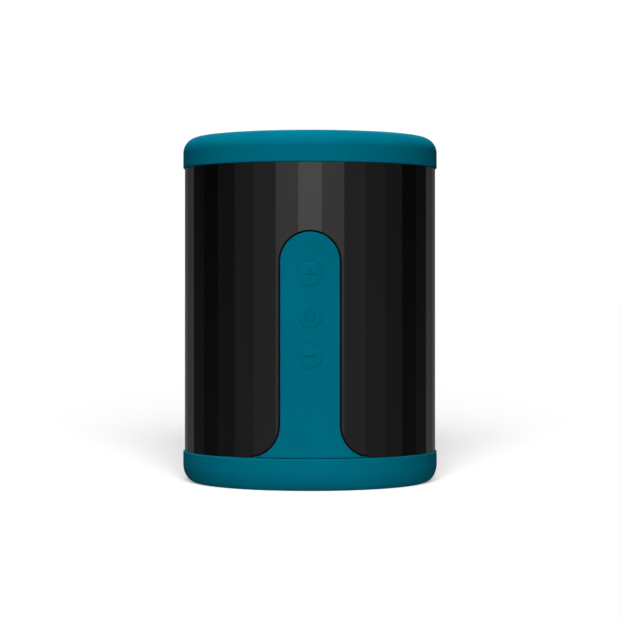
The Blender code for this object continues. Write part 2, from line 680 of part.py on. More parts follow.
def aux_jack(floor):
    """3.5 mm audio socket: a block with a round nose."""
    x, rear, half_width, height = -4.8 * MM, 34.8 * MM, 2.8 * MM, 5.0 * MM
    middle = floor + height / 2
    low = (x - half_width, rear - 12 * MM, floor)
    made = box("aux_jack", CHIP, low, (x + half_width, rear - MM, floor + height))
    nose = cylinder("join_aux_nose", None, 2.4 * MM, rear - 2 * MM, rear, (x, middle), "Y", 20)
    bore = cylinder("cut_aux_bore", None, 1.75 * MM, rear - 10 * MM, rear + MM, (x, middle), "Y", 20)
    return cut(join(made, nose), bore)


def battery():
    """One cylindrical cell across the enclosure, and the cradle that bridges the board and holds it."""
    half = BATTERY_LENGTH / 2
    centre = (BATTERY_Y, BATTERY_Z)
    cell = cylinder("battery_cell", WRAP, BATTERY_R, -half, half - MM, centre, "X", 32)
    join(cell, cylinder("join_battery_tip", None, 3.0 * MM, half - 2 * MM, half, centre, "X", 16))
    depth, deck = 9.0 * MM, 20.2 * MM
    low_y, high_y = BATTERY_Y - depth, BATTERY_Y + depth
    cradle = box("battery_cradle", ABS, (-26 * MM, low_y, deck), (26 * MM, high_y, 27 * MM))
    legs = []
    for i, x in enumerate((-24 * MM, 24 * MM)):
        foot = (x - 1.6 * MM, low_y + 2 * MM, CORE_LOW)
        legs.append(box(f"join_leg_{i}", None, foot, (x + 1.6 * MM, high_y - 2 * MM, deck + MM)))
    seat = cylinder("cut_cradle", None, BATTERY_R + GAP, -40 * MM, 40 * MM, centre, "X", 32)
    return cut(join(cradle, *legs), seat)


# ---------------------------------------------------------------- wiring


def wire(name, finish, points, radius=0.8 * MM):
    """A round cable through the given points."""
    curve = bpy.data.curves.new(name, "CURVE")
    curve.dimensions = "3D"
    curve.bevel_depth = radius
    curve.bevel_resolution = 2
    curve.use_fill_caps = True
    spline = curve.splines.new("POLY")
    spline.points.add(len(points) - 1)
    for point, place in zip(spline.points, points):
        point.co = (*(c * MM for c in place), 1)
    made = bpy.data.objects.new(name, curve)
    return own(made, name, finish)


def wiring():
    """Driver and battery leads, and the flat ribbon between the two boards."""
    wire("driver_lead", WIRE, [
        (-18.5, 6, 15.9), (-27, 12, 17), (-30, 13, 22), (-30.5, 13, 45), (-29, 12, 72),
        (-24, 9, 88), (-22.2, 8, 93),
    ])
    wire("battery_lead", WIRE, [
        (33.8, -2, 31.2), (34, -4, 28), (32.5, -11.5, 22), (28, -14, 17.6), (20.5, -13.5, 15.9),
    ])
    half_width, thick, x = 2.6 * MM, 0.4 * MM, -5.4 * MM
    path = [(28.6, 40.0), (28.6, 25.0), (27.4, 21.4), (23.0, 17.4), (15.0, 15.2)]
    front = [(-d * MM, z * MM) for d, z in path]
    back = [(y + thick, z + thick) for y, z in reversed(front)]
    prism("key_ribbon", front + back, half_width, (math.pi / 2, 0, math.pi / 2), (x, 0, 0), RIBBON)


# ---------------------------------------------------------------- fasteners


def screw(name, head_at, length, direction):
    """Socket-head screw. head_at is the centre of its head's seat, and direction the way the head faces."""
    head_r, head_h, socket_r, socket = 1.9 * MM, 1.5 * MM, 1.0 * MM, 0.9 * MM
    socket_floor = head_h - socket
    profile = [
        (0, socket_floor), (socket_r, socket_floor), (socket_r, head_h), (head_r, head_h), (head_r, 0),
        (SHANK_R, 0), (SHANK_R, -length), (0, -length),
    ]
    turn = Vector(direction).to_track_quat("Z", "Y").to_euler()
    return turned(name, STEEL, profile, steps=8, closed=False, turn=turn, place=head_at)


def screws():
    for i, (radius, angle) in enumerate(TOP_BOSSES):
        screw(f"baffle_screw_{i + 1}", (*polar(radius, angle), BAFFLE_TOP + GAP), 10 * MM, (0, 0, 1))
    for i, (radius, angle) in enumerate(DRIVER_SCREWS):
        screw(f"driver_screw_{i + 1}", (*polar(radius, angle), FLANGE_HIGH + GAP), 6 * MM, (0, 0, 1))
    for i, (radius, angle) in enumerate(BASE_BOSSES):
        screw(f"base_screw_{i + 1}", (*polar(radius, angle), 5.2 * MM), 7 * MM, (0, 0, -1))
    for i, (x, y) in enumerate(BOARD_SCREWS):
        screw(f"board_screw_{i + 1}", (x, y, MAIN_BOARD_HIGH + GAP), 6 * MM, (0, 0, 1))
    for i, z in enumerate(KEY_BOARD_SCREWS):
        seat_y = -KEY_BOARD_FRONT + BOARD_THICK + GAP
        screw(f"key_board_screw_{i + 1}", (0, seat_y, z), 5 * MM, (0, 1, 0))


def build():
    top_cap()
    bottom_cap()
    sleeve()
    control_strip()
    for name, z in key_places():
        key(name, z)
    top_grille()
    port_cover()
    core_shell()
    top_baffle()
    base_plate()
    driver()
    radiator()
    key_board()
    main_board()
    battery()
    wiring()
    screws()


build()
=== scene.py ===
"""Looks of the portable Bluetooth speaker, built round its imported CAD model.

Lengths are in metres. The speaker stands on z = 0 with its keys towards -Y. Outer pieces are remade
here with fine edges, grooves and perforations in the places where the CAD pieces stand. Pieces inside
keep their CAD shapes.
"""

import json
import math

import bmesh
import bpy
from mathutils import Matrix, Vector
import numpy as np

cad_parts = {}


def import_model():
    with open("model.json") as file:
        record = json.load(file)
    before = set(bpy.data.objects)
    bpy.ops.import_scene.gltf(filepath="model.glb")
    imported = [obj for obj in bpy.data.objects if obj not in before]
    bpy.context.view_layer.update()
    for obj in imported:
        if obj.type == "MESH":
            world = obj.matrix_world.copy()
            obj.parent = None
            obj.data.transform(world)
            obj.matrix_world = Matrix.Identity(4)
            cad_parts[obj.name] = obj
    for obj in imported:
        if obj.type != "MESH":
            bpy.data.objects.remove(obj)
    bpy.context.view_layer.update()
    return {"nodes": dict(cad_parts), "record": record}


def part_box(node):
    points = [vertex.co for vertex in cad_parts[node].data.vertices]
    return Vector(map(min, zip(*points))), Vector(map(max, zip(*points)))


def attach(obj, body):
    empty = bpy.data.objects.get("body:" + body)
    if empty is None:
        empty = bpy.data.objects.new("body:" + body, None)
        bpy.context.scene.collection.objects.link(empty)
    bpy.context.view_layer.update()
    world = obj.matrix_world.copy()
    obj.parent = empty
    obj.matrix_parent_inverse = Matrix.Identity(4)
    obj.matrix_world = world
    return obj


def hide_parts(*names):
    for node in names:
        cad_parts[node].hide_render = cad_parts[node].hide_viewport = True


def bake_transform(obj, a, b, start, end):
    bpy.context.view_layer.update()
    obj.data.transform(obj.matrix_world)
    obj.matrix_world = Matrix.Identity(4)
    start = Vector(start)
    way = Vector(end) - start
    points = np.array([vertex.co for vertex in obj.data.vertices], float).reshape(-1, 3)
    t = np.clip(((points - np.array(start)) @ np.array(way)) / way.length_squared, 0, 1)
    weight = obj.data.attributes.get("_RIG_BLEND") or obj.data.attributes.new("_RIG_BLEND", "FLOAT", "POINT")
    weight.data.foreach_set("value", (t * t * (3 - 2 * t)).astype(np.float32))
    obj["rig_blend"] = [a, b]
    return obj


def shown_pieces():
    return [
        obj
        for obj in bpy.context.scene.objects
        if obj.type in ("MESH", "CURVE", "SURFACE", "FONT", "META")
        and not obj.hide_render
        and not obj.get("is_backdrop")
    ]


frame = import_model()

MM = 0.001


def low(node):
    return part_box(node)[0]


def high(node):
    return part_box(node)[1]


def middle(node):
    return (low(node) + high(node)) / 2


# ---------------------------------------------------------------- sizes, from the frame where it has them

HEIGHT = high("top_cap").z
CAP_R = high("bottom_cap").x
CAP_BORE = high("core_shell").x + 0.3 * MM
LIP_REACH = 0.12 * MM  # how far each cap's lip laps past its CAD edge
BOTTOM_LIP = high("bottom_cap").z + LIP_REACH
TOP_LIP = low("top_cap").z - LIP_REACH
TOP_CORNER = (5.0 * MM, 5.0 * MM)
BOTTOM_CORNER = (4.1 * MM, 5.7 * MM)
OPENING_R = 31.6 * MM

FACETS = 36
FACET_STEP = 2 * math.pi / FACETS
BODY_R = high("sleeve").x / math.cos(math.pi / FACETS)
SLEEVE_BORE = 38.4 * MM
CUT_NEAR, CUT_FAR = 30 * MM, 50 * MM  # where a cutter starts and ends, either side of the sleeve's wall

STRIP_R = -low("control_strip").y
STRIP_BACK_R = CAP_BORE
STRIP_TOP = high("control_strip").z - 0.08 * MM
STRIP_FOOT = BOTTOM_LIP + 0.2 * MM
STRIP_HALF = 9.11 * MM
STRIP_FLARE = 10.0 * MM
STRIP_GAP = 0.56 * MM
STRIP_EDGE = 0.14 * MM

KEYS = ("plus", "power", "minus")
KEY_R = high("key_plus").x
KEY_GAP = 0.3 * MM
KEY_PROUD = 0.08 * MM
SIGN_HALF = 0.28 * MM
SIGN_REACH = 2.0 * MM

GRILLE_Z = high("top_grille").z
GRILLE_R = high("top_grille").x
HOLE_PITCH = 2.3 * MM
HOLE_R = 0.78 * MM

RADIATOR_Z = middle("radiator_plate").z
SLOT_HALF = 1.3 * MM
SLOT_FIELD = 21.0 * MM

PORT_LOW, PORT_HIGH = low("port_cover").z, high("port_cover").z
PORT_Z = (PORT_LOW + PORT_HIGH) / 2
PORT_FAR_X = low("port_cover").x
PORT_THICK = 1.6 * MM
PORT_GAP = 0.25 * MM
HINGE_ROOM = 1.4 * MM  # the opening runs on past the hinge's axis, so that its rolled edge can turn
PORT_AXIS_X, PORT_AXIS_Y = frame["record"]["behaviour"]["joints"][-1]["pos_m"][:2]

CAMERA_DISTANCE = 684 * MM
CAMERA_HEIGHT = 59 * MM
CAMERA_LENS = 124.05
CAMERA_SHIFT = -0.022016

# Brightness of the surroundings that the sleeve mirrors, by degrees to the right of the camera's side
REFLECTED_BANDS = (
    (-180, 0.045), (-140, 0.064), (-122, 0.002), (-100, 0.002), (-80, 0.046), (-60, 0.115), (-40, 0.173),
    (-20, 0.37), (-12, 0.65), (0, 0.70), (12, 0.65), (20, 0.37), (40, 0.166), (60, 0.115), (80, 0.078),
    (100, 0.003), (122, 0.002), (140, 0.064), (180, 0.045),
)


# ---------------------------------------------------------------- mesh helpers


def link(name, mesh):
    made = bpy.data.objects.new(name, mesh)
    bpy.context.scene.collection.objects.link(made)
    return made


def arc(centre, radius, start, end, steps):
    """Points on an arc, with angles in degrees."""
    turns = [math.radians(start + (end - start) * i / steps) for i in range(steps + 1)]
    return [(centre[0] + radius * math.cos(a), centre[1] + radius * math.sin(a)) for a in turns]


def soften(points, radius, steps=3, closed=True):
    """Rounds every corner of an outline with a short curve no longer than its neighbours allow."""
    made = []
    count = len(points)
    for i, corner in enumerate(points):
        if not closed and i in (0, count - 1):
            made.append(corner)
            continue
        here, before, after = Vector(corner), Vector(points[i - 1]), Vector(points[(i + 1) % count])
        into, out = before - here, after - here
        start = here + into.normalized() * min(radius, into.length * 0.45)
        end = here + out.normalized() * min(radius, out.length * 0.45)
        for k in range(steps + 1):
            t = k / steps
            made.append(tuple(start * (1 - t) ** 2 + here * 2 * t * (1 - t) + end * t**2))
    return made


def tidy_normals(mesh):
    body = bmesh.new()
    body.from_mesh(mesh)
    bmesh.ops.remove_doubles(body, verts=body.verts, dist=0.000001)
    bmesh.ops.recalc_face_normals(body, faces=body.faces)
    body.to_mesh(mesh)
    body.free()


def shade(obj, angle=35, weighted=True):
    """Smooth shading that keeps flat faces flat and breaks at edges sharper than the angle."""
    obj.data.shade_smooth()
    obj.data.set_sharp_from_angle(angle=math.radians(angle))
    if weighted:
        change = obj.modifiers.new("weighted_normals", "WEIGHTED_NORMAL")
        change.keep_sharp = True
    return obj


def lathe(name, profile, steps=192, closed=True, angle=35):
    """Revolves (radius, height) points about Z. A point on the axis becomes a single vertex."""
    verts, rings = [], []
    for radius, z in profile:
        count = steps if radius > 1e-7 else 1
        rings.append(range(len(verts), len(verts) + count))
        turns = [2 * math.pi * i / steps for i in range(count)]
        verts += [(radius * math.cos(a), radius * math.sin(a), z) for a in turns]
    faces = []
    pairs = list(zip(rings, rings[1:])) + ([(rings[-1], rings[0])] if closed else [])
    for upper, lower in pairs:
        for i in range(steps):
            corners = [(upper, i), (upper, i + 1), (lower, i + 1), (lower, i)]
            face = list(dict.fromkeys(ring[k % len(ring)] for ring, k in corners))
            if len(face) > 2:
                faces.append(face)
    mesh = bpy.data.meshes.new(name)
    mesh.from_pydata(verts, [], faces)
    tidy_normals(mesh)
    return shade(link(name, mesh), angle)


def plate(name, outlines, thick, edge, steps=3):
    """Flat panel in local (x, up) with rounded edges. The first outline is its rim, the others holes."""
    curve = bpy.data.curves.new(name, "CURVE")
    curve.dimensions = "2D"
    curve.fill_mode = "BOTH"
    curve.extrude = thick / 2 - edge
    curve.bevel_depth = edge
    curve.bevel_resolution = steps
    curve.offset = -edge
    for outline in outlines:
        spline = curve.splines.new("POLY")
        spline.points.add(len(outline) - 1)
        for point, (x, y) in zip(spline.points, outline):
            point.co = (x, y, 0, 1)
        spline.use_cyclic_u = True
    guide = link(name, curve)
    bpy.context.view_layer.update()
    graph = bpy.context.evaluated_depsgraph_get()
    mesh = bpy.data.meshes.new_from_object(guide.evaluated_get(graph))
    bpy.data.objects.remove(guide)
    tidy_normals(mesh)
    return link(name, mesh)


def wrap(obj, radius, side, step=0.6 * MM):
    """Bends a flat panel round the body, its face on the radius, at the front (-1) or the rear (1)."""
    body = bmesh.new()
    body.from_mesh(obj.data)
    reach = max(abs(v.co.x) for v in body.verts)
    thick = max(v.co.z for v in body.verts)
    for i in range(-int(reach / step), int(reach / step) + 1):
        whole = body.verts[:] + body.edges[:] + body.faces[:]
        bmesh.ops.bisect_plane(body, geom=whole, plane_co=(i * step, 0, 0), plane_no=(1, 0, 0), dist=1e-7)
    for v in body.verts:
        angle, r = v.co.x / radius, radius + v.co.z - thick
        v.co = (r * math.sin(angle), side * r * math.cos(angle), v.co.y)
    bmesh.ops.recalc_face_normals(body, faces=body.faces)
    body.to_mesh(obj.data)
    body.free()
    return obj


def cutter(name, outline, near, far, turn=0.0):
    """A prism through the body's wall, between two distances out along the -Y side turned about Z."""
    verts = [(x, -d, z) for d in (near, far) for x, z in outline]
    count = len(outline)
    faces = [tuple(range(count)), tuple(range(count, 2 * count))]
    faces += [(i, (i + 1) % count, count + (i + 1) % count, count + i) for i in range(count)]
    mesh = bpy.data.meshes.new(name)
    mesh.from_pydata(verts, [], faces)
    mesh.transform(Matrix.Rotation(turn, 4, "Z"))
    tidy_normals(mesh)
    return link(name, mesh)


def carve(obj, *tools):
    """Cuts the tools out of the object and removes them."""
    for tool in tools:
        change = obj.modifiers.new(tool.name, "BOOLEAN")
        change.operation = "DIFFERENCE"
        change.object = tool
        change.solver = "EXACT"
    bake_modifiers(obj)
    for tool in tools:
        bpy.data.objects.remove(tool)
    return obj


def bake_modifiers(obj):
    bpy.context.view_layer.update()
    graph = bpy.context.evaluated_depsgraph_get()
    mesh = bpy.data.meshes.new_from_object(obj.evaluated_get(graph))
    obj.modifiers.clear()
    obj.data = mesh
    return obj


def bevel(obj, width, segments=2, angle=50):
    change = obj.modifiers.new("edges", "BEVEL")
    change.width = width
    change.segments = segments
    change.limit_method = "ANGLE"
    change.angle_limit = math.radians(angle)
    change.harden_normals = False
    return obj


def stands_for(obj, body, material, *nodes):
    """The piece rides on the body, wears the material and hides the CAD nodes that it stands for."""
    obj.data.materials.clear()
    obj.data.materials.append(material)
    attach(obj, body)
    if nodes:
        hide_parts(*nodes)
    return obj


# ---------------------------------------------------------------- materials


def new_material(name, slot):
    made = bpy.data.materials.new(name)
    made.use_nodes = True
    made["slot"] = slot
    return made, made.node_tree, made.node_tree.nodes["Principled BSDF"]


def add(tree, kind, sockets=None, **settings):
    """Adds a node. Each socket value is either a number, a colour or another node's output to link."""
    made = tree.nodes.new(kind)
    for key, value in settings.items():
        setattr(made, key, value)
    for key, value in (sockets or {}).items():
        if isinstance(value, bpy.types.NodeSocket):
            tree.links.new(value, made.inputs[key])
        else:
            made.inputs[key].default_value = value
    return made


def places(tree, stretch=(1, 1, 1)):
    """Object coordinates in millimetres, stretched along an axis for drawn or brushed finishes."""
    spot = add(tree, "ShaderNodeTexCoord")
    sockets = {"Vector": spot.outputs["Object"], "Scale": tuple(1000 * s for s in stretch)}
    return add(tree, "ShaderNodeMapping", sockets).outputs["Vector"]


def noise(tree, where, size, detail=3.0, rough=0.5):
    """Noise whose features are about size millimetres across."""
    sockets = {"Vector": where, "Scale": 1 / size, "Detail": detail, "Roughness": rough}
    return add(tree, "ShaderNodeTexNoise", sockets).outputs["Fac"]


def blend_colour(tree, share, first, second):
    made = add(tree, "ShaderNodeMix", data_type="RGBA")
    tree.links.new(share, made.inputs[0])
    for index, value in ((6, first), (7, second)):
        if isinstance(value, bpy.types.NodeSocket):
            tree.links.new(value, made.inputs[index])
        else:
            made.inputs[index].default_value = (*value, 1)
    return made.outputs[2]


def remap(tree, value, lowest, highest, start=0.3, end=0.7):
    sockets = {"Value": value, "From Min": start, "From Max": end, "To Min": lowest, "To Max": highest}
    return add(tree, "ShaderNodeMapRange", sockets).outputs["Result"]


def relief(tree, shader, height, depth, strength=1.0):
    made = add(tree, "ShaderNodeBump", {"Height": height, "Distance": depth, "Strength": strength})
    tree.links.new(made.outputs["Normal"], shader.inputs["Normal"])


def moulded(
    name, dark, light, rough, slot=None, patch=14.0, grain=0.25, depth=0.012, stretch=(1, 1, 1), **sockets
):
    """Base for moulded, painted and plated finishes: slow patches of colour and a fine grain.

    dark and light are colours, rough is a range, and patch, grain and depth are in millimetres.
    """
    made, tree, shader = new_material(name, slot or name)
    where = places(tree, stretch)
    slow, fine = noise(tree, where, patch), noise(tree, where, grain, 2.0)
    tree.links.new(blend_colour(tree, remap(tree, slow, 0, 1), dark, light), shader.inputs["Base Color"])
    tree.links.new(remap(tree, fine, rough[0], rough[1]), shader.inputs["Roughness"])
    relief(tree, shader, fine, depth * MM)
    for key, value in sockets.items():
        shader.inputs[key.replace("_", " ")].default_value = value
    return made


def make_materials():
    """Every finish, by the record's slot name."""
    teal = {
        "dark": (0.0, 0.130, 0.192), "light": (0.0, 0.140, 0.207), "rough": (0.55, 0.68),
        "grain": 0.18, "depth": 0.006, "Specular_IOR_Level": 0.01,
    }
    kit = {}
    kit["teal_silicone"] = moulded("teal_silicone", **teal)
    kit["teal_key"] = moulded("teal_key", slot="teal_silicone", **teal)
    # The keys' sunk signs get painted shade: a darker colour standing in for the shade in their grooves.
    paint_sign_shade(kit["teal_key"])
    kit["black_satin"] = moulded(
        "black_satin", (0.0006, 0.0006, 0.0007), (0.0010, 0.0010, 0.0011), (0.16, 0.21),
        grain=0.12, depth=0.0012,
    )
    kit["black_abs"] = moulded(
        "black_abs", (0.004, 0.004, 0.005), (0.007, 0.007, 0.008), (0.55, 0.7),
        grain=0.3, depth=0.02, Specular_IOR_Level=0.15,
    )
    kit["black_grille"] = moulded(
        "black_grille", (0.010, 0.010, 0.011), (0.017, 0.017, 0.018), (0.36, 0.52), grain=0.22, depth=0.02
    )
    kit["plated_steel"] = moulded(
        "plated_steel", (0.42, 0.43, 0.44), (0.58, 0.58, 0.57), (0.22, 0.4),
        grain=0.2, depth=0.01, stretch=(1, 1, 0.15), Metallic=1.0,
    )
    kit["ferrite"] = moulded(
        "ferrite", (0.018, 0.018, 0.019), (0.05, 0.048, 0.046), (0.5, 0.72),
        patch=0.6, grain=0.3, depth=0.03,
    )
    kit["black_rubber"] = moulded(
        "black_rubber", (0.009, 0.009, 0.009), (0.018, 0.018, 0.018), (0.5, 0.66), grain=0.3, depth=0.01
    )
    kit["chip_black"] = moulded(
        "chip_black", (0.008, 0.008, 0.009), (0.02, 0.02, 0.021), (0.3, 0.5), grain=0.12, depth=0.01
    )
    kit["battery_wrap"] = moulded(
        "battery_wrap", (0.012, 0.16, 0.34), (0.02, 0.24, 0.46), (0.22, 0.34),
        patch=9, grain=1.6, depth=0.03, Coat_Weight=0.3,
    )
    kit["wire_red"] = moulded(
        "wire_red", (0.34, 0.012, 0.012), (0.5, 0.025, 0.02), (0.38, 0.5), patch=5, grain=0.5, depth=0.02
    )
    kit["copper_coil"] = winding()
    kit["paper_cone"] = pulp()
    kit["spider_cloth"] = weave("spider_cloth", (0.36, 0.2, 0.06), (0.55, 0.34, 0.13), 0.55)
    kit["grey_foam"] = foam()
    kit["green_board"] = board()
    kit["flex_ribbon"] = ribbon()
    return kit


def paint_sign_shade(made):
    """Paints shade into whatever lies deeper than a key's face, which is the sunk sign: its colour is
    darkened to stand in for the shade in the groove.
    """
    tree = made.node_tree
    shader = tree.nodes["Principled BSDF"]
    spot = add(tree, "ShaderNodeTexCoord")
    sockets = {0: spot.outputs["Object"], 1: (1000, 1000, 0)}
    flat = add(tree, "ShaderNodeVectorMath", sockets, operation="MULTIPLY")
    out = add(tree, "ShaderNodeVectorMath", {0: flat.outputs["Vector"]}, operation="LENGTH")
    face = STRIP_R / MM
    # Painted shade: below the key's face the colour is scaled down to 0.87, standing in for the groove's
    # shade.
    depth = remap(tree, out.outputs["Value"], 0.87, 1.0, face - 0.2, face - 0.1)
    plain = shader.inputs["Base Color"].links[0].from_socket
    painted_shade_colour = add(tree, "ShaderNodeVectorMath", {0: plain}, operation="SCALE")
    tree.links.new(depth, painted_shade_colour.inputs["Scale"])
    tree.links.new(painted_shade_colour.outputs["Vector"], shader.inputs["Base Color"])


def winding():
    """Enamelled copper wire wound in close turns up the coil."""
    made, tree, shader = new_material("copper_coil", "copper_coil")
    where = places(tree)
    sockets = {"Vector": where, "Scale": 1.1, "Distortion": 0.15}
    turns = add(tree, "ShaderNodeTexWave", sockets, bands_direction="Z")
    colour = blend_colour(tree, turns.outputs["Fac"], (0.28, 0.10, 0.045), (0.78, 0.36, 0.19))
    tree.links.new(colour, shader.inputs["Base Color"])
    tree.links.new(remap(tree, noise(tree, where, 0.5), 0.25, 0.4), shader.inputs["Roughness"])
    shader.inputs["Metallic"].default_value = 1.0
    relief(tree, shader, turns.outputs["Fac"], 0.08 * MM)
    return made


def pulp():
    """Dyed paper pulp: short fibres and soft blotches."""
    made, tree, shader = new_material("paper_cone", "paper_cone")
    where = places(tree)
    sockets = {"Vector": where, "Scale": 2.2, "Detail": 6.0, "Distortion": 2.5}
    fibres = add(tree, "ShaderNodeTexNoise", sockets)
    share = remap(tree, fibres.outputs["Fac"], 0, 1)
    colour = blend_colour(tree, share, (0.010, 0.010, 0.010), (0.045, 0.043, 0.04))
    tree.links.new(colour, shader.inputs["Base Color"])
    tree.links.new(remap(tree, fibres.outputs["Fac"], 0.7, 0.9), shader.inputs["Roughness"])
    relief(tree, shader, fibres.outputs["Fac"], 0.08 * MM)
    return made


def weave(name, dark, light, pitch):
    """Plain-woven cloth: two crossed sets of threads, pitch millimetres apart."""
    made, tree, shader = new_material(name, name)
    where = places(tree)
    cloth = add(tree, "ShaderNodeMath", operation="MAXIMUM")
    for index, way in enumerate("XY"):
        sockets = {"Vector": where, "Scale": 0.314 / pitch}
        thread = add(tree, "ShaderNodeTexWave", sockets, bands_direction=way)
        tree.links.new(thread.outputs["Fac"], cloth.inputs[index])
    tree.links.new(blend_colour(tree, cloth.outputs["Value"], dark, light), shader.inputs["Base Color"])
    tree.links.new(remap(tree, noise(tree, where, 0.4), 0.75, 0.92), shader.inputs["Roughness"])
    relief(tree, shader, cloth.outputs["Value"], 0.1 * MM)
    return made


def foam():
    """Open pores in dark grey foam."""
    made, tree, shader = new_material("grey_foam", "grey_foam")
    where = places(tree)
    pores = add(tree, "ShaderNodeTexVoronoi", {"Vector": where, "Scale": 3.0}).outputs["Distance"]
    share = remap(tree, pores, 0, 1, 0.1, 0.6)
    colour = blend_colour(tree, share, (0.018, 0.018, 0.02), (0.085, 0.085, 0.09))
    tree.links.new(colour, shader.inputs["Base Color"])
    tree.links.new(remap(tree, pores, 0.95, 0.82), shader.inputs["Roughness"])
    relief(tree, shader, pores, 0.15 * MM)
    return made


def board():
    """Green solder mask over copper tracks, which show as paler lines and stand a little proud."""
    made, tree, shader = new_material("green_board", "green_board")
    where = places(tree)
    tracks = add(tree, "ShaderNodeTexBrick", {
        "Vector": where, "Scale": 0.42, "Mortar Size": 0.045, "Mortar Smooth": 0.3,
        "Brick Width": 1.7, "Row Height": 0.55,
    })
    slow = remap(tree, noise(tree, where, 12), 0, 1)
    mask = blend_colour(tree, slow, (0.004, 0.065, 0.024), (0.007, 0.095, 0.038))
    colour = blend_colour(tree, tracks.outputs["Fac"], mask, (0.03, 0.2, 0.07))
    tree.links.new(colour, shader.inputs["Base Color"])
    tree.links.new(remap(tree, noise(tree, where, 0.3), 0.25, 0.4), shader.inputs["Roughness"])
    relief(tree, shader, tracks.outputs["Fac"], 0.05 * MM)
    return made


def ribbon():
    """Amber film over parallel copper conductors."""
    made, tree, shader = new_material("flex_ribbon", "flex_ribbon")
    where = places(tree)
    sockets = {"Vector": where, "Scale": 0.5}
    lines = add(tree, "ShaderNodeTexWave", sockets, bands_direction="X").outputs["Fac"]
    share = remap(tree, lines, 0, 1, 0.45, 0.55)
    colour = blend_colour(tree, share, (0.30, 0.11, 0.015), (0.62, 0.30, 0.08))
    tree.links.new(colour, shader.inputs["Base Color"])
    tree.links.new(remap(tree, noise(tree, where, 0.6), 0.28, 0.42), shader.inputs["Roughness"])
    relief(tree, shader, lines, 0.03 * MM)
    return made


# ---------------------------------------------------------------- caps


def cap_side(corner, steps=20):
    """A cap's elliptical corner, from its side to its flat, as (distance in, distance towards the flat)."""
    run, rise = corner
    turns = [math.pi / 2 * i / steps for i in range(steps + 1)]
    return [(run * (1 - math.cos(a)), rise * math.sin(a)) for a in turns]


def lip(edge, way):
    """A cap's open end, rounded outside and inside. way is 1 where the cap lies above it, and -1 below."""
    outer_round, inner_round = 0.4 * MM, 0.2 * MM
    outside = arc((CAP_R - outer_round, edge + way * outer_round), outer_round, 0, -90 * way, 4)
    inside = arc((CAP_BORE + inner_round, edge + way * inner_round), inner_round, -90 * way, -180 * way, 3)
    return outside + inside


def bottom_cap(kit):
    """Silicone cup with a soft lower corner and fine grip rings under its rim."""
    floor = 3.2 * MM
    recess_r, recess, ring_rise = 31.0 * MM, 0.6 * MM, 0.25 * MM
    inside = [(0, floor), (CAP_BORE, floor)] + lip(BOTTOM_LIP, -1)[::-1]
    side = [(CAP_R - run, BOTTOM_CORNER[1] - rise) for run, rise in cap_side(BOTTOM_CORNER)]
    grip = []
    for i in range(3):
        ring_r = recess_r + (3.9 - 1.5 * i) * MM
        groove = ((0, 0), (0.2 * MM, ring_rise), (0.5 * MM, ring_rise), (0.7 * MM, 0))
        grip += [(ring_r - inwards, rise) for inwards, rise in groove]
    under = soften([(recess_r, 0), (recess_r - recess, recess), (0, recess)], 0.3 * MM, closed=False)
    made = lathe("bottom_cap_cup", inside + side + grip + under, closed=False)
    return stands_for(made, "housing", kit["teal_silicone"], "bottom_cap")


def top_cap(kit):
    """Silicone ring with a soft upper corner, a rolled opening and a small step down to the grille."""
    shoulder = HEIGHT - TOP_CORNER[1]
    side = [(CAP_R - run, shoulder + rise) for run, rise in reversed(cap_side(TOP_CORNER))]
    roll, seat = 1.5 * MM, GRILLE_Z + 0.3 * MM
    opening = arc((OPENING_R + roll, HEIGHT - roll), roll, 180, 90, 8)
    step = soften([(CAP_BORE, seat), (OPENING_R, seat), opening[0]], 0.3 * MM, closed=False)[:-1]
    made = lathe("top_cap_ring", opening + side + lip(TOP_LIP, 1) + step)
    return stands_for(made, "housing", kit["teal_silicone"], "top_cap")


# ---------------------------------------------------------------- sleeve


def strip_outline(grow, foot):
    """The strip's outline as (width measured round the body, height), grown outwards by grow."""
    half, flare = STRIP_HALF + grow, STRIP_FLARE - grow
    flare_z = low("control_strip").z + STRIP_FLARE
    arch = arc((0, STRIP_TOP - STRIP_HALF), half, 0, 180, 48)
    left = arc((-STRIP_HALF - STRIP_FLARE, flare_z), flare, 0, -86, 24)
    right = [(-x, z) for x, z in reversed(left)]
    return [(right[0][0], foot)] + right + arch + left + [(left[-1][0], foot)]


def round_body(outline):
    """Turns widths measured round the body into distances across it."""
    return [(BODY_R * math.sin(s / BODY_R), z) for s, z in outline]


def obround(half_width, half_height, centre_z=0.0, steps=8):
    straight = half_height - half_width
    top = arc((0, centre_z + straight), half_width, 0, 180, steps)
    return top + arc((0, centre_z - straight), half_width, 180, 360, steps)


def faceted_tube(name, foot, head):
    """Tube of flat facets with finely chamfered corners."""
    edge = 0.12 * MM / BODY_R
    turns = [FACET_STEP * (i + 0.5) + side * edge for i in range(FACETS) for side in (-1, 1)]
    rings = []
    for radius, z in ((BODY_R, head), (BODY_R, foot), (SLEEVE_BORE, foot), (SLEEVE_BORE, head)):
        rings.append([(radius * math.cos(a), radius * math.sin(a), z) for a in turns])
    count = len(turns)
    faces = []
    for level in range(4):
        here, there = level * count, (level + 1) % 4 * count
        for i in range(count):
            k = (i + 1) % count
            faces.append((here + i, here + k, there + k, there + i))
    mesh = bpy.data.meshes.new(name)
    mesh.from_pydata([v for ring in rings for v in ring], [], faces)
    tidy_normals(mesh)
    return link(name, mesh)


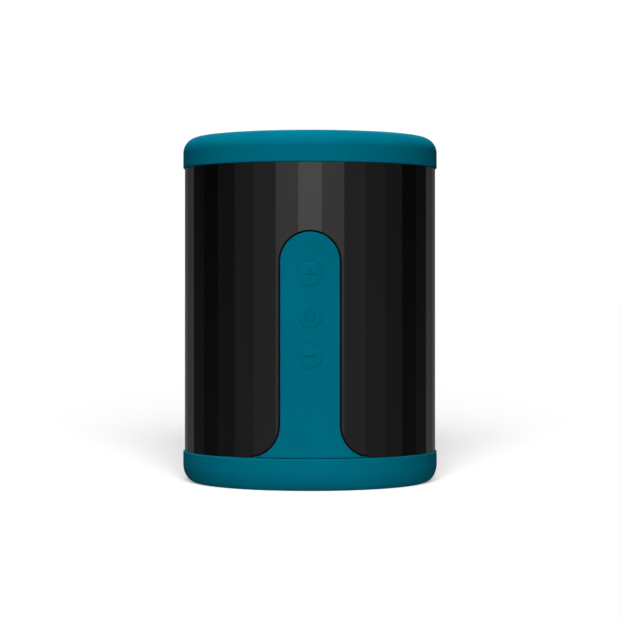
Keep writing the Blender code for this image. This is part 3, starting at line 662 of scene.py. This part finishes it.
def sleeve(kit):
    """Faceted tube, open at the front for the strip and at the rear for the bass slots and the port."""
    foot, head = low("sleeve").z, TOP_LIP - 0.08 * MM
    made = faceted_tube("sleeve_shell", foot, head)
    notch = round_body(strip_outline(STRIP_GAP, foot - 2 * MM))
    tools = [cutter("cut_notch", notch, CUT_NEAR, CUT_FAR)]
    for i in range(-2, 3):
        across = BODY_R * math.sin(i * FACET_STEP)
        half_height = math.sqrt(SLOT_FIELD**2 - across**2)
        outline = obround(SLOT_HALF, half_height, RADIATOR_Z)
        tools.append(cutter(f"cut_slot_{i + 2}", outline, CUT_NEAR, CUT_FAR, math.pi + i * FACET_STEP))
    port = [(-x, z) for x, z in port_outline(PORT_GAP)]
    tools.append(cutter("cut_port", port, CUT_NEAR, CUT_FAR, math.pi))
    carve(made, *tools)
    bevel(made, 0.06 * MM, segments=1)
    return stands_for(shade(made, 40), "housing", kit["black_satin"], "sleeve")


# ---------------------------------------------------------------- key strip and keys


def key_hole(z, radius):
    return arc((0, z), radius, 0, 354, 59)


def control_strip(kit):
    """Silicone strip, with an arched head, a flared foot and a round hole for each key."""
    holes = [key_hole(middle(f"key_{name}").z, KEY_R + KEY_GAP) for name in KEYS]
    thick = STRIP_R - STRIP_BACK_R
    made = plate("key_strip", [strip_outline(0, STRIP_FOOT)] + holes, thick, STRIP_EDGE)
    wrap(made, STRIP_R, -1)
    return stands_for(shade(made), "housing", kit["teal_silicone"], "control_strip")


def key_signs(name):
    """Outlines sunk into a key: bars for plus and minus, an open ring and a bar for power."""
    bar = [(x * SIGN_REACH, y * SIGN_HALF) for x, y in ((-1, -1), (1, -1), (1, 1), (-1, 1))]
    if name == "minus":
        return [bar]
    if name == "plus":
        return [bar, [(-y, x) for x, y in bar]]
    ring_r, centre = 1.5 * MM, (0, -0.3 * MM)
    ring = arc(centre, ring_r + SIGN_HALF, 130, 410, 28) + arc(centre, ring_r - SIGN_HALF, 410, 130, 28)
    foot, head = 0.1 * MM, 2.2 * MM
    return [ring, [(-SIGN_HALF, foot), (SIGN_HALF, foot), (SIGN_HALF, head), (-SIGN_HALF, head)]]


def hug(obj, beyond):
    """Bends the front of a flat-faced piece back at its sides so that it follows the round of the strip."""
    for v in obj.data.vertices:
        if -v.co.y > beyond:
            v.co.y += STRIP_R - math.sqrt(STRIP_R**2 - v.co.x**2)
    return obj


def key(name, kit):
    """Round silicone key that stands just proud, with a rounded rim, a sunk sign and a post at its back."""
    z = middle(f"key_{name}").z
    rim, crown, sunk = 0.25 * MM, 0.06 * MM, 0.42 * MM
    face = STRIP_R + KEY_PROUD
    post_r, post_end = 1.5 * MM, -high(f"key_{name}").y
    front = [(KEY_R * t, face + crown * (1 - t * t)) for t in [i / 10 for i in range(10)]]
    edge = arc((KEY_R - rim, face - rim), rim, 80, 0, 5)
    back = [(KEY_R, STRIP_BACK_R), (post_r, STRIP_BACK_R), (post_r, post_end), (0, post_end)]
    made = lathe(f"key_{name}_pad", front + edge + back, steps=64, closed=False)
    made.data.transform(Matrix.Translation((0, 0, z)) @ Matrix.Rotation(math.pi / 2, 4, "X"))
    hug(made, STRIP_BACK_R + MM)
    tools = []
    for i, outline in enumerate(key_signs(name)):
        placed = [(x, z + y) for x, y in outline]
        tools.append(cutter(f"cut_sign_{name}_{i}", placed, face + crown - sunk, face + 2 * MM))
    made.modifiers.clear()
    carve(made, *tools)
    bevel(made, 0.05 * MM, segments=1, angle=60)
    return stands_for(shade(made), f"{name}_key", kit["teal_key"], f"key_{name}")


def key_web(name, kit):
    """Thin silicone skin that closes the groove round a key and stretches as the key goes in."""
    z = middle(f"key_{name}").z
    inner, outer = KEY_R - 0.05 * MM, KEY_R + KEY_GAP + STRIP_EDGE
    top, thick = STRIP_R - 0.07 * MM, 0.3 * MM
    profile = [(inner, top), (outer, top), (outer, top - thick), (inner, top - thick)]
    made = lathe(f"key_{name}_web", profile, steps=64)
    made.data.transform(Matrix.Translation((0, 0, z)) @ Matrix.Rotation(math.pi / 2, 4, "X"))
    hug(made, 0)
    return flex(made, f"{name}_key", kit["teal_silicone"], Vector((0, 0, z)), (0, 2), outer, inner)


def flex(obj, body, material, centre, axes, fixed, moving, *nodes):
    """Lets a ring bend between the housing, at its fixed radius, and the body, at its moving radius."""
    obj.data.materials.append(material)
    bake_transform(obj, "housing", body, start=(0, 0, 0), end=(0, 0, 1))
    shares = obj.data.attributes["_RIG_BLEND"]
    for i, vertex in enumerate(obj.data.vertices):
        across = math.hypot(*((vertex.co[a] - centre[a]) for a in axes))
        share = min(1.0, max(0.0, (across - fixed) / (moving - fixed)))
        shares.data[i].value = share * share * (3 - 2 * share)
    if nodes:
        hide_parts(*nodes)
    return obj


# ---------------------------------------------------------------- grille, driver and radiator


def grille(kit):
    """Punched steel sheet, slightly domed, with round holes on a triangular grid inside a plain rim."""
    crown, plain_r, thick = 0.9 * MM, 30.3 * MM, 0.8 * MM
    row_step = HOLE_PITCH * math.sqrt(3) / 2
    corner = HOLE_PITCH / math.sqrt(3)
    reach = int(GRILLE_R / row_step) + 2
    body = bmesh.new()

    def put(x, y):
        r = math.hypot(x, y)
        shrink = min(1.0, GRILLE_R / r) if r else 1.0
        z = GRILLE_Z + crown * (1 - min(1.0, (r / GRILLE_R) ** 2))
        return body.verts.new((x * shrink, y * shrink, z))

    for row in range(-reach, reach + 1):
        for column in range(-reach, reach + 1):
            cx, cy = (column + 0.5 * (row % 2)) * HOLE_PITCH, row * row_step
            if math.hypot(cx, cy) > GRILLE_R:
                continue
            turns = [math.radians(30 * i) for i in range(12)]
            reach_out = [corner if i % 2 else HOLE_PITCH / 2 for i in range(12)]
            rim = [put(cx + r * math.cos(a), cy + r * math.sin(a)) for a, r in zip(turns, reach_out)]
            if math.hypot(cx, cy) > plain_r - HOLE_R:
                body.faces.new(rim)
                continue
            hole = [put(cx + HOLE_R * math.cos(a), cy + HOLE_R * math.sin(a)) for a in turns]
            for i in range(12):
                body.faces.new((rim[i], rim[(i + 1) % 12], hole[(i + 1) % 12], hole[i]))
    bmesh.ops.remove_doubles(body, verts=body.verts, dist=0.00001)
    mesh = bpy.data.meshes.new("grille_sheet")
    body.to_mesh(mesh)
    body.free()
    made = link("grille_sheet", mesh)
    sheet = made.modifiers.new("sheet", "SOLIDIFY")
    sheet.thickness = thick
    sheet.offset = -1
    bake_modifiers(made)
    return stands_for(shade(made, 40, weighted=False), "housing", kit["black_grille"], "top_grille")


def half_roll(middle_r, roll_r, flat, thick, base, steps=16):
    """Section of a half-roll surround: two lips joined by a raised roll."""
    top = base + thick
    over = arc((middle_r, top), roll_r + thick / 2, 180, 0, steps)
    under = arc((middle_r, base), roll_r - thick / 2, 0, 180, steps)
    inner, outer = middle_r - roll_r - flat, middle_r + roll_r + flat
    return [(inner, top)] + over + [(outer, top), (outer, base)] + under + [(inner, base)]


def driver_surround(kit):
    """Half-roll rubber surround between the driver's basket and its cone."""
    roll_r, flat, thick = 1.6 * MM, 0.9 * MM, 0.4 * MM
    middle_r = high("driver_surround").x - roll_r - flat
    section = half_roll(middle_r, roll_r, flat, thick, low("driver_surround").z)
    made = lathe("surround_roll", section, steps=96)
    fixed, moving = middle_r + roll_r, middle_r - roll_r
    return flex(
        made, "driver_mass", kit["black_rubber"], Vector(), (0, 1), fixed, moving, "driver_surround"
    )


def driver_spider(kit):
    """Corrugated cloth disc that centres the voice coil."""
    inner, outer, waves = high("voice_coil").x + 0.3 * MM, high("driver_spider").x, 3
    z, rise, skin = middle("driver_spider").z, 0.5 * MM, 0.2 * MM
    shares = [i / (12 * waves) for i in range(12 * waves + 1)]
    wave = [(inner + (outer - inner) * t, z + rise * math.sin(2 * math.pi * waves * t)) for t in shares]
    profile = [(r, h + skin) for r, h in wave] + [(r, h - skin) for r, h in reversed(wave)]
    made = lathe("spider_ring", profile, steps=72)
    return flex(
        made, "driver_mass", kit["spider_cloth"], Vector(), (0, 1), outer, inner, "driver_spider"
    )


def radiator_surround(kit):
    """Half-roll rubber surround between the radiator's rim and its plate, facing the rear."""
    roll_r, flat, thick = 2.2 * MM, 1.1 * MM, 0.4 * MM
    middle_r = high("radiator_surround").x - roll_r - flat
    section = half_roll(middle_r, roll_r, flat, thick, low("radiator_surround").y)
    made = lathe("radiator_roll", section, steps=96)
    made.data.transform(Matrix.Translation((0, 0, RADIATOR_Z)) @ Matrix.Rotation(-math.pi / 2, 4, "X"))
    centre, fixed, moving = Vector((0, 0, RADIATOR_Z)), middle_r + roll_r, middle_r - roll_r
    return flex(
        made, "radiator_mass", kit["black_rubber"], centre, (0, 2), fixed, moving, "radiator_surround"
    )


# ---------------------------------------------------------------- port cover and sockets


def port_outline(grow):
    """The port cover's outline in X and Z. An opening for it grows, and clears the hinge as it turns."""
    half = (PORT_HIGH - PORT_LOW) / 2 + grow
    corner = 1.0 * MM
    hinge_x = PORT_AXIS_X + (HINGE_ROOM if grow else 0)
    bend = PORT_FAR_X + (PORT_HIGH - PORT_LOW) / 2
    far = arc((bend, PORT_Z), half, 90, 270, 32)
    low_corner = arc((hinge_x - corner, PORT_Z - half + corner), corner, -90, 0, 6)
    high_corner = arc((hinge_x - corner, PORT_Z + half - corner), corner, 0, 90, 6)
    return far + low_corner + high_corner


def merge(name, *parts):
    """Joins several meshes into one piece."""
    body = bmesh.new()
    for part in parts:
        body.from_mesh(part.data)
        bpy.data.objects.remove(part)
    mesh = bpy.data.meshes.new(name)
    body.to_mesh(mesh)
    body.free()
    return link(name, mesh)


def stand(obj, x, y, z):
    """Stands a flat panel up facing the rear, with the middle of its thickness at y."""
    obj.data.transform(Matrix.Translation((x, y, z)) @ Matrix.Rotation(math.pi / 2, 4, "X"))
    return obj


def rounded(half_x, half_y, corner, steps=5):
    """A rectangle's outline with round corners."""
    x, y = half_x - corner, half_y - corner
    made = []
    for i, (sx, sy) in enumerate(((1, 1), (-1, 1), (-1, -1), (1, -1))):
        made += arc((sx * x, sy * y), corner, 90 * i, 90 * (i + 1), steps)
    return made


def port_cover(kit):
    """Silicone flap with a rolled hinge edge, three finger ribs at its free end and a plug on its back."""
    flat = [(STRIP_R * math.asin(x / STRIP_R), z) for x, z in port_outline(0)]
    panel = wrap(plate("flap", [flat], PORT_THICK, 0.3 * MM), STRIP_R, 1)
    half, roll, soft = (PORT_HIGH - PORT_LOW) / 2, 0.85 * MM, 0.3 * MM
    plug_y, plug_rise, plug_thick = 37.6 * MM, 0.4 * MM, 1.8 * MM
    upper = [(0, half), (roll - soft, half), (roll, half - soft)]
    hinge = lathe("hinge", upper + [(r, -z) for r, z in reversed(upper)], 24, closed=False)
    hinge.data.transform(Matrix.Translation((PORT_AXIS_X, PORT_AXIS_Y, PORT_Z)))
    plug = plate("plug", [rounded(7.2 * MM, 2.2 * MM, 1.1 * MM)], plug_thick, 0.35 * MM)
    stand(plug, 0, plug_y, PORT_Z + plug_rise)
    ribs = []
    for i in range(3):
        angle = (PORT_FAR_X + (2.2 + 1.4 * i) * MM) / STRIP_R
        rib = plate(f"rib_{i}", [obround(0.36 * MM, (2.0 + 0.4 * i) * MM)], 0.9 * MM, 0.25 * MM)
        stand(rib, 0, STRIP_R - 0.2 * MM, PORT_Z)
        rib.data.transform(Matrix.Rotation(-angle, 4, "Z"))
        ribs.append(rib)
    made = merge("port_flap_panel", panel, hinge, plug, *ribs)
    return stands_for(shade(made), "port_flap", kit["teal_silicone"], "port_cover")


def usb_socket(kit):
    """Charging socket: folded steel shell with a flared mouth, a back wall and a contact tongue."""
    lower, upper = low("usb_socket"), high("usb_socket")
    x, _, z = (lower + upper) / 2
    half_x, half_z = (upper.x - lower.x) / 2, (upper.z - lower.z) / 2
    depth, wall = upper.y - lower.y, 0.3 * MM
    outer = rounded(half_x, half_z, 1.5 * MM)
    inner = list(reversed(rounded(half_x - wall, half_z - wall, 1.2 * MM)))
    shell = stand(plate("shell", [outer, inner], depth, 0.1 * MM), x, upper.y - depth / 2, z)
    back = stand(plate("back", [outer], 0.6 * MM, 0.1 * MM), x, lower.y + 0.4 * MM, z)
    reach = depth - 1.2 * MM
    tongue = plate("tongue", [rounded(3.2 * MM, 0.35 * MM, 0.2 * MM)], reach, 0.05 * MM)
    stand(tongue, x, lower.y + 0.5 * MM + reach / 2, z)
    made = merge("usb_shell", shell, back, tongue)
    return stands_for(shade(made), "housing", kit["plated_steel"], "usb_socket")


def aux_jack(kit):
    """Audio socket: moulded block with a round, chamfered nose and a deep bore."""
    lower, upper = low("aux_jack"), high("aux_jack")
    x, _, z = (lower + upper) / 2
    half_x, half_z = (upper.x - lower.x) / 2, (upper.z - lower.z) / 2
    nose, bore, lead = 2.4 * MM, 1.75 * MM, 0.3 * MM
    front, rear, seat = upper.y, lower.y, upper.y - MM
    hole = list(reversed(arc((0, 0), bore, 0, 345, 23)))
    block = plate("block", [rounded(half_x, half_z, 0.5 * MM), hole], seat - rear, 0.15 * MM)
    stand(block, x, (seat + rear) / 2, z)
    tube = lathe("tube", [
        (nose, front - lead), (nose - lead, front), (bore + lead, front), (bore, front - lead),
        (bore, rear + MM), (0, rear + MM), (0, rear + 0.5 * MM), (nose, rear + 0.5 * MM),
    ], 48)
    tube.data.transform(Matrix.Translation((x, 0, z)) @ Matrix.Rotation(-math.pi / 2, 4, "X"))
    made = merge("aux_nose", block, tube)
    return stands_for(shade(made), "housing", kit["chip_black"], "aux_jack")


# ---------------------------------------------------------------- pieces that keep their CAD shapes


def finish_cad_nodes(kit):
    """Gives every CAD node that still shows the material of its slot in the record."""
    slots = {row["node"]: row["material_slot"] for row in frame["record"]["subparts"]}
    for name, obj in frame["nodes"].items():
        obj.data.materials.clear()
        obj.data.materials.append(kit[slots[name]])


# ---------------------------------------------------------------- studio


def floor():
    """Floor that looks white to the camera. Bounced light finds it brightest in front of the speaker."""
    bpy.ops.mesh.primitive_plane_add(size=40, location=(0, 0, 0))
    ground = bpy.context.object
    ground.name = "floor"
    ground.visible_glossy = False
    made, tree, shader = new_material("floor_white", "stage")
    spot = add(tree, "ShaderNodeTexCoord")
    sockets = {0: spot.outputs["Object"], 1: (0, -0.12, 0)}
    away = add(tree, "ShaderNodeVectorMath", sockets, operation="DISTANCE")
    bounce = remap(tree, away.outputs["Value"], 0.12, 0.025, 0.07, 0.25)
    rays = add(tree, "ShaderNodeLightPath")
    seen = blend_colour(tree, rays.outputs["Is Camera Ray"], bounce, (0.5, 0.5, 0.5))
    tree.links.new(seen, shader.inputs["Base Color"])
    shader.inputs["Roughness"].default_value = 0.9
    shader.inputs["Specular IOR Level"].default_value = 0.0
    ground.data.materials.append(made)
    ground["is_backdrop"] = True
    return ground


def world():
    """Just over white to the camera, a dim fill all round, and bands by angle for the sleeve to mirror."""
    made = bpy.data.worlds.new("studio")
    bpy.context.scene.world = made
    made.use_nodes = True
    tree = made.node_tree
    tree.nodes.clear()
    spot = add(tree, "ShaderNodeTexCoord")
    split = add(tree, "ShaderNodeSeparateXYZ", {"Vector": spot.outputs["Generated"]})
    towards = add(tree, "ShaderNodeMath", {0: split.outputs["Y"], 1: -1}, operation="MULTIPLY")
    sockets = {0: split.outputs["X"], 1: towards.outputs["Value"]}
    angle = add(tree, "ShaderNodeMath", sockets, operation="ARCTAN2")
    share = remap(tree, angle.outputs["Value"], 0, 1, -math.pi, math.pi)
    bands = add(tree, "ShaderNodeValToRGB", {"Fac": share})
    ramp = bands.color_ramp
    while len(ramp.elements) < len(REFLECTED_BANDS):
        ramp.elements.new(0.5)
    for element, (degrees, value) in zip(ramp.elements, REFLECTED_BANDS):
        element.position = (degrees + 180) / 360
        element.color = (value, value, value, 1)

    # The bright front bands grow a little with height, and a pale floor is added below the horizon
    front = remap(tree, bands.outputs["Color"], 0, 1, 0.18, 0.34)
    upwards = remap(tree, split.outputs["Z"], -0.25, 0.25, -0.05, 0.05)
    lift = add(tree, "ShaderNodeMath", {0: front, 1: upwards}, operation="MULTIPLY")
    sockets = {0: bands.outputs["Color"], 1: lift.outputs["Value"], 2: bands.outputs["Color"]}
    graded = add(tree, "ShaderNodeMath", sockets, operation="MULTIPLY_ADD")
    pale_floor = remap(tree, split.outputs["Z"], 0.0, 0.03, 0.1, -0.1)
    total = add(tree, "ShaderNodeMath", {0: graded.outputs["Value"], 1: pale_floor}, operation="ADD")

    # Background, by the kind of ray that meets it. Anything over 1 hides the far edge of the floor.
    mirrored = add(tree, "ShaderNodeBackground", {"Color": total.outputs["Value"], "Strength": 2.0})
    fill = add(tree, "ShaderNodeBackground", {"Color": (1, 1, 1, 1), "Strength": 0.01})
    seen = add(tree, "ShaderNodeBackground", {"Color": (1, 1, 1, 1), "Strength": 1.05})
    rays = add(tree, "ShaderNodeLightPath")
    shown = fill
    for ray, instead in (("Is Glossy Ray", mirrored), ("Is Camera Ray", seen)):
        sockets = {0: rays.outputs[ray], 1: shown.outputs[0], 2: instead.outputs[0]}
        shown = add(tree, "ShaderNodeMixShader", sockets)
    add(tree, "ShaderNodeOutputWorld", {"Surface": shown.outputs[0]})


def lamp(name, azimuth, elevation, spread, strength):
    """A very distant softbox, spread degrees wide to the eye. Azimuth 0 is the camera's side."""
    data = bpy.data.lights.new(name, "SUN")
    data.energy = strength
    data.angle = math.radians(spread)
    made = link(name, data)
    a, e = math.radians(azimuth), math.radians(elevation)
    towards = Vector((math.sin(a) * math.cos(e), -math.cos(a) * math.cos(e), math.sin(e)))
    made.rotation_euler = towards.to_track_quat("Z", "Y").to_euler()
    made.visible_glossy = False
    return made


def lights(ground):
    """Three soft lights for the speaker, and two for the floor, where only the front one casts a shadow."""
    speaker = bpy.data.collections.new("lit_speaker")
    stage = bpy.data.collections.new("lit_floor")
    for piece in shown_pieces():
        speaker.objects.link(piece)
    stage.objects.link(ground)
    for made in (
        lamp("front_light", -0.5, 9, 20, 2.51),
        lamp("top_light", -50, 84, 26, 3.95),
        lamp("rear_light", 180, 35, 30, 2.8),
    ):
        made.light_linking.receiver_collection = speaker
    front = lamp("floor_front_light", 0, 20, 30, 13.2)
    even = lamp("floor_even_light", 0, 90, 10, 1.75)
    even.data.use_shadow = False
    for made in (front, even):
        made.light_linking.receiver_collection = stage


def camera():
    """Level camera on the side of the keys. Its shift lowers the view without tilting it."""
    data = bpy.data.cameras.new("camera")
    data.sensor_width = 36
    data.lens = CAMERA_LENS
    data.shift_y = CAMERA_SHIFT
    made = link("camera", data)
    made.location = (0, -CAMERA_DISTANCE, CAMERA_HEIGHT)
    made.rotation_euler = (math.pi / 2, 0, 0)
    bpy.context.scene.camera = made
    bpy.context.scene.view_settings.view_transform = "Standard"


# ---------------------------------------------------------------- build

KIT = make_materials()
finish_cad_nodes(KIT)
bottom_cap(KIT)
top_cap(KIT)
sleeve(KIT)
control_strip(KIT)
for key_name in KEYS:
    key(key_name, KIT)
    key_web(key_name, KIT)
grille(KIT)
driver_surround(KIT)
driver_spider(KIT)
radiator_surround(KIT)
port_cover(KIT)
usb_socket(KIT)
aux_jack(KIT)
world()
lights(floor())
camera()
